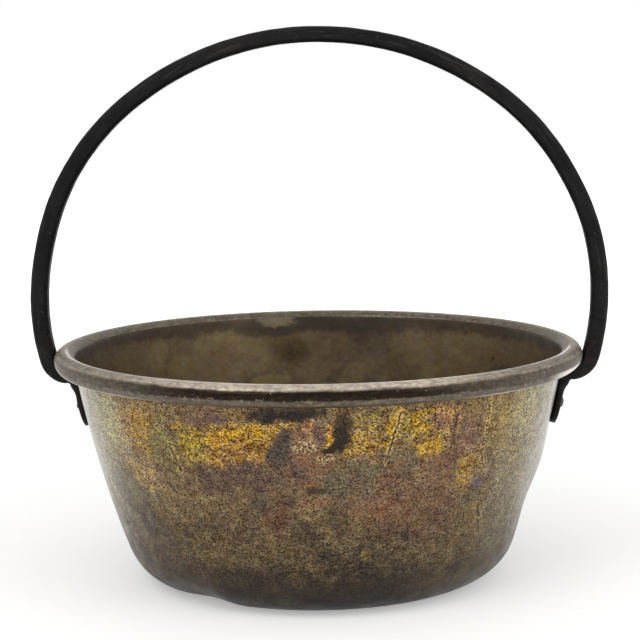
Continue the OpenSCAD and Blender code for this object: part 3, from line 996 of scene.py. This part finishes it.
def outsideMaterial():
    material, tree, shader, point, flat = panMaterial("brassOutside")
    place = flat["Place"]
    ragged = use(tree, wander, Place=place, Point=point, Scale=55.0, Reach=0.013)["Place"]
    ragged = use(tree, wander, Place=ragged, Point=point, Scale=260.0, Reach=0.005)["Place"]
    wavy = use(tree, wander, Place=place, Point=point, Scale=180.0, Reach=0.0035)["Place"]
    wavy = use(tree, wander, Place=wavy, Point=point, Scale=700.0, Reach=0.0012)["Place"]
    parts = put(tree, "ShaderNodeSeparateXYZ", {0: ragged}).outputs
    aside, height = calc(tree, "ABSOLUTE", parts[0]), parts[1]
    # three clouds of grains in one, so that neighbouring stains break up differently
    cloud = put(tree, "ShaderNodeTexNoise", {"Vector": point, "Scale": 120.0, "Detail": 4.0, "Roughness": 0.78})
    grits = put(tree, "ShaderNodeSeparateColor", {0: cloud.outputs[1]}).outputs
    grit = noise(tree, point, 900.0, 2, 0.65)
    # the finish that goes all round: brown and olive, with gold, copper and green clouds
    around = ramp(tree, aside, 0.13, 0.17, 0.35, 1.0)
    colour = blend(tree, use(tree, mottle, Point=point, Scale=20.0, Low=0.42, High=0.60)["Mask"],
                   brass["brown"], brass["olive"])
    for scale, low, high, look, foot, top in ((24.0, 0.53, 0.60, "redBrown", 0.03, 0.05),
                                              (31.0, 0.50, 0.57, "gold", 0.075, 0.105),
                                              (27.0, 0.55, 0.62, "greyGreen", 0.03, 0.05),
                                              (36.0, 0.53, 0.60, "goldBrown", 0.025, 0.045),
                                              (43.0, 0.57, 0.63, "copper", 0.05, 0.09)):
        cloud = use(tree, mottle, Point=point, Scale=scale, Low=low, High=high)["Mask"]
        share = calc(tree, "MULTIPLY", calc(tree, "MULTIPLY", cloud, around), ramp(tree, height, foot, top))
        colour = blend(tree, share, colour, brass[look])
    lower = ramp(tree, height, 0.085, 0.070)
    for scale, look, share in ((52.0, "goldBrown", 0.75), (64.0, "purpleBrown", 0.6), (47.0, "darkBrown", 0.55)):
        cloud = use(tree, mottle, Point=point, Scale=scale, Low=0.50, High=0.60)["Mask"]
        colour = blend(tree, calc(tree, "MULTIPLY", calc(tree, "MULTIPLY", cloud, lower), share), colour, brass[look])
    # the upper wall is warmer and lighter than the lower
    colour = blend(tree, ramp(tree, height, 0.088, 0.112, 0.0, 0.62), colour, brass["warm"])
    pale = None
    for index, (look, angle, tall, halfWide, halfHigh, tilt, strength) in enumerate(stains):
        row = (brass[look], placeOf(angle, tall), halfWide, halfHigh, tilt, strength)
        edge = 0.5 if look in ("soot", "darkGrey", "greyGreen", "darkBrown", "blister") else 0.95
        colour, mask = layStain(tree, colour, ragged, grits[index % 3], row, edge)
        # the silver zones, partly painted sheen, also quiet the grain
        if look == "silverSheen":
            pale = mask if pale is None else calc(tree, "MAXIMUM", pale, mask)
    # the foot of the wall and the base are the darkest: their own dark brown with painted shade added, where the sheet
    # turns down and away from the light; the wall just under the rolled rim is made browner
    colour = blend(tree, ramp(tree, height, 0.082, 0.045, 0.0, 0.34), colour, brass["bandBrownShade"])
    uneven = calc(tree, "ADD", height, ramp(tree, grits[0], 0.3, 0.7, -0.008, 0.008))
    band = calc(tree, "MULTIPLY", ramp(tree, uneven, 0.046, 0.018), ramp(tree, aside, 0.05, 0.10, 0.96, 0.55))
    colour = blend(tree, band, colour, brass["bandBrownShade"])
    colour = blend(tree, ramp(tree, height, 0.020, 0.006, 0.0, 0.8), colour, brass["footBrownShade"])
    under = ramp(tree, height, 0.127, 0.135)
    colour = blend(tree, calc(tree, "MULTIPLY", under, 0.6), colour, brass["brown"])
    # grains in the colour: strongest on the upper wall, weak where the sheet is pale or at its foot
    lightness = put(tree, "ShaderNodeRGBToBW", {0: colour}).outputs[0]
    lively = calc(tree, "MULTIPLY", ramp(tree, height, 0.020, 0.036, 0.4, 1.0), ramp(tree, pale, 0.0, 1.0, 1.0, 0.4))
    lively = calc(tree, "MULTIPLY", lively, ramp(tree, height, 0.072, 0.050, 1.0, 1.4))
    lively = calc(tree, "MULTIPLY", lively, ramp(tree, lightness, 0.08, 0.22, 0.5, 1.0))
    lively = calc(tree, "MULTIPLY", lively, ramp(tree, aside, 0.095, 0.13, 1.0, 0.6))
    colour = use(tree, brokenTone, Colour=colour, Point=point, Scale=170.0,
                 Contrast=calc(tree, "MULTIPLY", lively, 1.7))[0]
    colour = use(tree, brokenTone, Colour=colour, Point=point, Scale=760.0,
                 Contrast=calc(tree, "MULTIPLY", lively, 6.8))[0]
    pits = use(tree, specks, Point=point, Scale=640.0, Cover=0.36)["Mask"]
    colour = blend(tree, calc(tree, "MULTIPLY", pits, calc(tree, "MULTIPLY", lively, 0.9)), colour, brass["pit"])
    fine = use(tree, scratches, Place=place, Tilt=0.25, Scale=70.0, Stretch=9.0, Width=0.012)["Mask"]
    cross = use(tree, scratches, Place=place, Tilt=-0.95, Scale=50.0, Stretch=12.0, Width=0.010)["Mask"]
    hatch = use(tree, scratches, Place=place, Tilt=0.7, Scale=260.0, Stretch=4.0, Width=0.02)["Mask"]
    colour = blend(tree, calc(tree, "MULTIPLY", fine, 0.35), colour, brass["tan"])
    colour = blend(tree, calc(tree, "MULTIPLY", cross, 0.4), colour, brass["darkBrown"])
    colour = blend(tree, calc(tree, "MULTIPLY", hatch, calc(tree, "MULTIPLY", lively, 0.4)), colour, brass["glint"])
    # the crazed skin of the copper patch
    crazed = use(tree, crackle, Point=point, Scale=430.0, Width=0.2)["Mask"]
    for angle, tall, halfWide, halfHigh, bright, dark in ((-0.5, 103, 8, 16, 0.16, 0.3), (-0.8, 110, 6, 3.5, 1, 0.9),
                                                          (3.4, 102, 4, 3, 1, 0.9)):
        spot = ramp(tree, farFrom(tree, ragged, angle, tall, halfWide, halfHigh), 1.3, 0.8)
        pale = calc(tree, "MULTIPLY", calc(tree, "MULTIPLY", crazed, spot), bright)
        colour = blend(tree, pale, colour, brass["paleGlint"])
        gap = calc(tree, "MULTIPLY", calc(tree, "MULTIPLY", ramp(tree, grit, 0.52, 0.44), spot), dark)
        colour = blend(tree, gap, colour, brass["soot"])
    lines, edges = layStrokes(tree, wavy)
    grain = noise(tree, point, 720.0, 2, 0.6)
    colour = blend(tree, calc(tree, "MULTIPLY", edges, ramp(tree, grain, 0.50, 0.42, 0, 0.8)), colour, brass["pit"])
    colour = blend(tree, calc(tree, "MULTIPLY", edges, ramp(tree, grain, 0.50, 0.56)), colour, brass["crackEdge"])
    colour = blend(tree, lines, colour, brass["soot"])
    link(tree, shader.inputs["Base Color"], colour)
    link(tree, shader.inputs["Roughness"], ramp(tree, noise(tree, point, 90.0, 4), 0.3, 0.7, 0.36, 0.52))
    shader.inputs["Metallic"].default_value = 0.5
    shader.inputs["Specular IOR Level"].default_value = 0.3
    facing = put(tree, "ShaderNodeLayerWeight", {"Blend": 0.35}).outputs["Facing"]
    gloss = calc(tree, "MULTIPLY", ramp(tree, facing, 0.3, 0.85, 0, 0.7), ramp(tree, height, 0.02, 0.09, 0.1, 1.0))
    link(tree, shader.inputs["Coat Weight"], gloss)
    shader.inputs["Coat Roughness"].default_value = 0.2
    shader.inputs["Coat IOR"].default_value = 1.7
    relief = calc(tree, "SUBTRACT", noise(tree, point, 420.0, 4), calc(tree, "MULTIPLY", lines, 1.5))
    relief = calc(tree, "SUBTRACT", relief, calc(tree, "MULTIPLY", calc(tree, "MAXIMUM", fine, cross), 0.5))
    bump = put(tree, "ShaderNodeBump", {"Height": relief, "Distance": 0.0006, "Strength": 0.35})
    link(tree, shader.inputs["Normal"], bump.outputs[0])
    return material


# inside of the pan: tones, and pale or dark patches on its back wall: look, x, height, half sizes in mm, tilt, strength
inside = {
    "brown": tone(63, 51, 38),
    "olive": tone(98, 81, 56),
    "light": tone(112, 97, 66),
    "yellow": tone(112, 99, 58),
    "dark": tone(46, 38, 31),
    "pale": tone(112, 101, 80),
}
patches = [
    ("olive", -89, 122, 66, 26, 0, 0.9),
    ("olive", -19, 116, 24, 15, 0, 0.5),
    ("light", -76, 130, 15, 8, 0, 0.6),
    ("light", -54, 122, 16, 7, 15, 0.5),
    ("light", -113, 124, 6, 12, 0, 0.5),
    ("yellow", -98, 116, 6, 7, 0, 0.5),
    ("yellow", -39, 98, 12, 5, 0, 0.6),
    ("olive", 100, 122, 56, 26, 0, 0.9),
    ("light", 98, 126, 18, 11, 0, 0.55),
    ("yellow", 72, 106, 5, 5, 0, 0.5),
    ("dark", 6, 140, 170, 8, 0, 0.7),
    # a painted highlight on the dent under the back rim, with painted shadow below it
    ("pale", -34, 141, 13, 4, 0, 0.9),
    ("dark", -36, 132, 17, 3, 0, 0.6),
    ("dark", -116, 107, 2, 2, 0, 0.9),
    ("dark", 114, 119, 0.9, 0.9, 0, 0.7),
    ("dark", 121, 112, 9, 4, 0, 0.5),
]


def insideMaterial():
    material, tree, shader, point, flat = panMaterial("brassInside")
    parts = put(tree, "ShaderNodeSeparateXYZ", {0: point}).outputs
    seen = put(tree, "ShaderNodeCombineXYZ", {0: parts[0], 1: parts[2]}).outputs[0]
    seen = use(tree, wander, Place=seen, Point=point, Scale=50.0, Reach=0.016)["Place"]
    seen = use(tree, wander, Place=seen, Point=point, Scale=190.0, Reach=0.006)["Place"]
    grit = ramp(tree, noise(tree, point, 300.0, 3, 0.6), 0.2, 0.8, 0.44, 0.56)
    colour = blend(tree, use(tree, mottle, Point=point, Scale=16.0, Low=0.48, High=0.72)["Mask"],
                   inside["brown"], inside["olive"])
    cloud = use(tree, mottle, Point=point, Scale=34.0, Low=0.54, High=0.66)["Mask"]
    colour = blend(tree, calc(tree, "MULTIPLY", cloud, 0.25), colour, inside["light"])
    dark = use(tree, mottle, Point=point, Scale=60.0, Low=0.56, High=0.70)["Mask"]
    colour = blend(tree, calc(tree, "MULTIPLY", dark, 0.12), colour, inside["dark"])
    for look, x, tall, halfWide, halfHigh, tilt, strength in patches:
        row = (inside[look], (x / 1000, tall / 1000, 0), halfWide, halfHigh, tilt, strength)
        colour, mask = layStain(tree, colour, seen, grit, row, 0.55)
    colour = use(tree, brokenTone, Colour=colour, Point=point, Scale=140.0, Contrast=0.35)[0]
    fine = use(tree, scratches, Place=flat["Place"], Tilt=0.2, Scale=40.0, Stretch=10.0, Width=0.012)["Mask"]
    colour = blend(tree, calc(tree, "MULTIPLY", fine, 0.3), colour, inside["pale"])
    link(tree, shader.inputs["Base Color"], colour)
    link(tree, shader.inputs["Roughness"], ramp(tree, noise(tree, point, 60.0, 4), 0.3, 0.7, 0.34, 0.48))
    shader.inputs["Metallic"].default_value = 0.5
    shader.inputs["Specular IOR Level"].default_value = 0.3
    relief = calc(tree, "SUBTRACT", noise(tree, point, 300.0, 3), calc(tree, "MULTIPLY", fine, 0.4))
    bump = put(tree, "ShaderNodeBump", {"Height": relief, "Distance": 0.0004, "Strength": 0.2})
    link(tree, shader.inputs["Normal"], bump.outputs[0])
    return material


# the rolled rim: tones of its bands, and where round the roll each begins, in degrees up from its outermost line. The
# bands are painted reflection and shade: a polished top with a painted highlight, a dark middle band of painted
# reflection, a lighter lower band of painted floor reflection and painted shade under the roll; towards the sides a
# plain grey-brown tone takes over from them, standing in for the greyer reflection there
rim = {
    "polishedHighlight": tone(184, 171, 154),
    "crest": tone(98, 90, 77),
    # dark is painted reflection, lower is painted floor reflection, under is painted shade beneath the roll
    "dark": tone(36, 27, 19),
    "lower": tone(100, 90, 77),
    "under": tone(44, 38, 31),
    "side": tone(103, 94, 82),
    "worn": tone(150, 138, 118),
    # line is the tone of the painted highlight lines
    "line": tone(246, 241, 230),
    "glint": tone(206, 194, 172),
    "polishedHighlightFrom": 37,
    "crestFrom": 104,
    "darkReflectionFrom": -18,
    "underShadeFrom": -68,
    "sideFrom": 0.055,      # metres from the middle plane
    "sideFull": 0.135,
}
# painted highlight lines on the front of the roll: degrees up from its outermost line, half width in degrees,
# x in metres where the line starts and where it is full, strength
rimHighlightLines = [
    (-68, 14, -0.075, -0.110, 1.0),
    (-68, 14, 0.075, 0.110, 1.0),
    (-36, 32, 0.136, 0.152, 0.95),
    (102, 12, 0.095, 0.120, 0.8),
    (102, 12, -0.095, -0.120, 0.6),
]


def rimMaterial():
    material, tree, shader, point, flat = panMaterial("brassRim")
    out = calc(tree, "SUBTRACT", flat["Radius"], wall["centre"].x)
    rise = calc(tree, "SUBTRACT", flat["Height"], wall["centre"].y)
    turn = calc(tree, "ARCTAN2", rise, out)
    # streaks run along the rim, so their cloud is drawn out that way
    along = put(tree, "ShaderNodeSeparateXYZ", {0: flat["Place"]}).outputs[0]
    drawn = put(tree, "ShaderNodeCombineXYZ", {0: calc(tree, "MULTIPLY", along, 42.0),
                                               1: calc(tree, "MULTIPLY", turn, 3.2)}).outputs[0]
    streak = noise(tree, drawn, 1.6, 5, 0.65)
    wobble = calc(tree, "MULTIPLY", calc(tree, "SUBTRACT", noise(tree, point, 60.0, 4, 0.6), 0.5), 0.35)
    level = calc(tree, "DEGREES", calc(tree, "ADD", turn, wobble))
    parts = put(tree, "ShaderNodeSeparateXYZ", {0: point}).outputs
    x, front = parts[0], ramp(tree, parts[1], -0.01, -0.035)
    aside = ramp(tree, calc(tree, "ABSOLUTE", x), rim["sideFrom"], rim["sideFull"])
    # the bands of painted highlight, painted reflection and painted shade round the roll, with the plain side tone over
    # them towards the sides
    colour = blend(tree, ramp(tree, level, rim["darkReflectionFrom"] - 6, rim["darkReflectionFrom"] + 6), rim["lower"], rim["dark"])
    shine = ramp(tree, level, rim["polishedHighlightFrom"] - 12, rim["polishedHighlightFrom"] + 8)
    colour = blend(tree, shine, colour, rim["polishedHighlight"])
    colour = blend(tree, ramp(tree, level, rim["crestFrom"] - 8, rim["crestFrom"] + 8), colour, rim["crest"])
    colour = blend(tree, ramp(tree, level, rim["underShadeFrom"] + 5, rim["underShadeFrom"] - 5), colour, rim["under"])
    colour = blend(tree, calc(tree, "MULTIPLY", aside, 0.72), colour, rim["side"])
    colour = use(tree, brokenTone, Colour=colour, Point=point, Scale=260.0, Contrast=0.9)[0]
    off = calc(tree, "MULTIPLY", calc(tree, "SUBTRACT", streak, 0.5), 0.9)
    colour = blend(tree, 1.0, colour, calc(tree, "ADD", off, 0.5, clamp=True), "OVERLAY")
    pits = use(tree, specks, Point=point, Scale=430.0, Cover=0.33)["Mask"]
    colour = blend(tree, calc(tree, "MULTIPLY", pits, 0.7), colour, rim["under"])
    edge = ramp(tree, calc(tree, "ABSOLUTE", calc(tree, "SUBTRACT", level, rim["darkReflectionFrom"] - 6)), 22, 6)
    worn = use(tree, specks, Point=point, Scale=380.0, Cover=0.44)["Mask"]
    colour = blend(tree, calc(tree, "MULTIPLY", calc(tree, "MULTIPLY", worn, edge), 0.6), colour, rim["worn"])
    nicks = use(tree, specks, Point=point, Scale=330.0, Cover=0.30)["Mask"]
    colour = blend(tree, calc(tree, "MULTIPLY", nicks, 0.7), colour, rim["glint"])
    # painted highlight lines along the roll
    for lineAt, halfWide, start, full, strength in rimHighlightLines:
        away = calc(tree, "ABSOLUTE", calc(tree, "SUBTRACT", level, lineAt))
        line = calc(tree, "MULTIPLY", ramp(tree, away, halfWide, halfWide * 0.4), ramp(tree, x, start, full))
        line = calc(tree, "MULTIPLY", line, front)
        colour = blend(tree, calc(tree, "MULTIPLY", line, strength), colour, rim["line"])
    link(tree, shader.inputs["Base Color"], colour)
    rough = calc(tree, "ADD", ramp(tree, streak, 0.3, 0.7, 0.20, 0.32), calc(tree, "MULTIPLY", aside, 0.22))
    link(tree, shader.inputs["Roughness"], rough)
    shader.inputs["Metallic"].default_value = 0.75
    shader.inputs["Specular IOR Level"].default_value = 0.2
    # thin bright line along the lower edge of the roll at the sides
    facing = put(tree, "ShaderNodeLayerWeight", {"Blend": 0.3}).outputs["Facing"]
    line = calc(tree, "MULTIPLY", ramp(tree, facing, 0.6, 0.98), ramp(tree, level, 25, 0))
    link(tree, shader.inputs["Coat Weight"], calc(tree, "MULTIPLY", line, aside))
    shader.inputs["Coat Roughness"].default_value = 0.1
    shader.inputs["Coat IOR"].default_value = 2.0
    relief = calc(tree, "ADD", calc(tree, "MULTIPLY", streak, 0.6), calc(tree, "MULTIPLY", nicks, -0.6))
    bump = put(tree, "ShaderNodeBump", {"Height": relief, "Distance": 0.0004, "Strength": 0.25})
    link(tree, shader.inputs["Normal"], bump.outputs[0])
    return material


# the blackened iron of handle, rivets and wire
iron = {
    "black": tone(17, 17, 18),
    "grey": tone(28, 27, 28),
    "worn": tone(70, 67, 62),
    "brown": tone(44, 39, 35),
    "rust": tone(74, 40, 34),
    "bare": tone(104, 102, 100),
    "rustBelow": 0.205,     # rust has stayed on the feet of the handle
    "archHeight": 0.170,    # middle of the arch, which the streaks of wear and painted highlight run round
}


def groupWornSheenStreaks():
    # long streaks that run round the handle's arch, partly wear and partly painted highlight
    tree, taken, given = newGroup("wornSheenStreaks", [("Point", "Vector"), ("Low", "Float"), ("High", "Float")],
                                  [("Mask", "Float")])
    parts = put(tree, "ShaderNodeSeparateXYZ", {0: taken["Point"]}).outputs
    up = calc(tree, "SUBTRACT", parts[2], iron["archHeight"])
    turn = calc(tree, "ARCTAN2", up, parts[0])
    flat = put(tree, "ShaderNodeCombineXYZ", {0: parts[0], 1: up}).outputs[0]
    out = put(tree, "ShaderNodeVectorMath", {0: flat}, operation="LENGTH").outputs["Value"]
    drawn = put(tree, "ShaderNodeCombineXYZ", {0: calc(tree, "MULTIPLY", turn, 5.0),
                                               1: calc(tree, "MULTIPLY", out, 420.0),
                                               2: calc(tree, "MULTIPLY", parts[1], 300.0)}).outputs[0]
    streak = noise(tree, drawn, 1.0, 5, 0.65)
    tree.links.new(ramp(tree, streak, taken["Low"], taken["High"]), given["Mask"])
    return tree


wornSheenStreaks = groupWornSheenStreaks()


def ironMaterial(name, bare, rusty, wearAndSheenShare, rough):
    material = bpy.data.materials.new(name)
    material.use_nodes = True
    tree = material.node_tree
    shader = tree.nodes["Principled BSDF"]
    point = put(tree, "ShaderNodeTexCoord").outputs["Object"]
    colour = blend(tree, use(tree, mottle, Point=point, Scale=45.0, Low=0.4, High=0.64)["Mask"],
                   iron["black"], iron["grey"])
    colour = blend(tree, bare, colour, iron["bare"])
    brown = use(tree, mottle, Point=point, Scale=22.0, Low=0.52, High=0.66)["Mask"]
    colour = blend(tree, calc(tree, "MULTIPLY", brown, 0.35), colour, iron["brown"])
    # lighter streaks along the bar: partly wear, partly painted highlight
    streaks = use(tree, wornSheenStreaks, Point=point, Low=0.56, High=0.70)[0]
    colour = blend(tree, calc(tree, "MULTIPLY", streaks, wearAndSheenShare), colour, iron["worn"])
    rust = use(tree, mottle, Point=point, Scale=70.0, Low=0.56, High=0.68)["Mask"]
    height = put(tree, "ShaderNodeSeparateXYZ", {0: point}).outputs[2]
    rust = calc(tree, "MULTIPLY", rust, ramp(tree, height, iron["rustBelow"], iron["rustBelow"] - 0.02))
    colour = blend(tree, calc(tree, "MULTIPLY", rust, rusty), colour, iron["rust"])
    worn = use(tree, specks, Point=point, Scale=320.0, Cover=0.34)["Mask"]
    colour = blend(tree, calc(tree, "MULTIPLY", worn, wearAndSheenShare), colour, iron["worn"])
    link(tree, shader.inputs["Base Color"], colour)
    link(tree, shader.inputs["Roughness"], ramp(tree, noise(tree, point, 110.0, 4), 0.3, 0.7, rough, rough + 0.18))
    shader.inputs["Metallic"].default_value = 0.25
    shader.inputs["Specular IOR Level"].default_value = 0.14
    relief = calc(tree, "ADD", noise(tree, point, 260.0, 5), calc(tree, "MULTIPLY", noise(tree, point, 900.0, 3), 0.4))
    bump = put(tree, "ShaderNodeBump", {"Height": relief, "Distance": 0.0007, "Strength": 0.45})
    link(tree, shader.inputs["Normal"], bump.outputs[0])
    return material


def dressPan():
    for material in (outsideMaterial(), insideMaterial(), rimMaterial()):
        panPiece.data.materials.append(material)
    for face, finish in zip(panPiece.data.polygons, panFinishes):
        face.material_index = finish


def dressIron():
    handlePiece.data.materials.append(ironMaterial("ironForged", 0.0, 0.22, 0.5, 0.42))
    hammered = ironMaterial("ironRivet", 0.65, 0.1, 0.5, 0.38)
    for piece in rivetPieces:
        piece.data.materials.append(hammered)
    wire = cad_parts["rim_wire"]
    wire.data.materials.clear()
    wire.data.materials.append(ironMaterial("ironWire", 0.0, 0.6, 0.1, 0.5))


dressPan()
dressIron()
print("materials made")

# the plain studio: light levels, where 1 shows a colour as it is written
studio = {
    "world": 0.62,
    "key": 9.0,
    "fill": 5.0,
    "floor": tone(246, 246, 245),
    "floorGlow": 0.36,
    "farGlow": 0.80,        # away from the pan, where the floor meets the white background
    "farFrom": 0.45,
    "farTo": 1.6,
}


def seenRays(tree):
    # 1 for what the camera, metal or glass sees directly
    path = put(tree, "ShaderNodeLightPath").outputs
    seen = calc(tree, "MAXIMUM", path["Is Camera Ray"], path["Is Glossy Ray"])
    return calc(tree, "MAXIMUM", seen, path["Is Transmission Ray"])


def makeStudio():
    world = bpy.data.worlds.new("studio")
    bpy.context.scene.world = world
    world.use_nodes = True
    tree = world.node_tree
    strength = ramp(tree, seenRays(tree), 0, 1, studio["world"], 1)
    link(tree, tree.nodes["Background"].inputs["Strength"], strength)
    tree.nodes["Background"].inputs["Color"].default_value = (1, 1, 1, 1)
    deselectAll()
    bpy.ops.mesh.primitive_plane_add(size=12, location=(0, 0, 0))
    floor = bpy.context.object
    floor.name = "studioFloor"
    material = bpy.data.materials.new("floor")
    material.use_nodes = True
    tree = material.node_tree
    shader = tree.nodes["Principled BSDF"]
    shader.inputs["Base Color"].default_value = studio["floor"]
    shader.inputs["Roughness"].default_value = 0.9
    shader.inputs["Specular IOR Level"].default_value = 0
    shader.inputs["Emission Color"].default_value = (1, 1, 1, 1)
    point = put(tree, "ShaderNodeTexCoord").outputs["Object"]
    away = put(tree, "ShaderNodeVectorMath", {0: point}, operation="LENGTH").outputs["Value"]
    level = ramp(tree, away, studio["farFrom"], studio["farTo"], studio["floorGlow"], studio["farGlow"])
    link(tree, shader.inputs["Emission Strength"], calc(tree, "MULTIPLY", seenRays(tree), level))
    floor.data.materials.append(material)
    for name, place, size, power in (("key", (-0.9, -1.3, 1.5), 1.2, studio["key"]),
                                     ("fill", (1.2, -0.9, 1.0), 1.0, studio["fill"])):
        lamp = bpy.data.lights.new(name, "AREA")
        lamp.size = size
        lamp.energy = power
        holder = bpy.data.objects.new(name, lamp)
        holder.location = place
        aim = Vector((0, 0, 0.1)) - Vector(place)
        holder.rotation_euler = aim.to_track_quat("-Z", "Y").to_euler()
        bpy.context.scene.collection.objects.link(holder)
    bpy.context.scene.view_settings.view_transform = "Standard"


makeStudio()
print("studio lit")

for piece, node, slot in ((panPiece, "pan", "pan"), (handlePiece, "handle", "handle"),
                          (rivetPieces[0], "rivet_left", "rivets"), (rivetPieces[1], "rivet_right", "rivets")):
    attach(piece, "root")
    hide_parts(node)
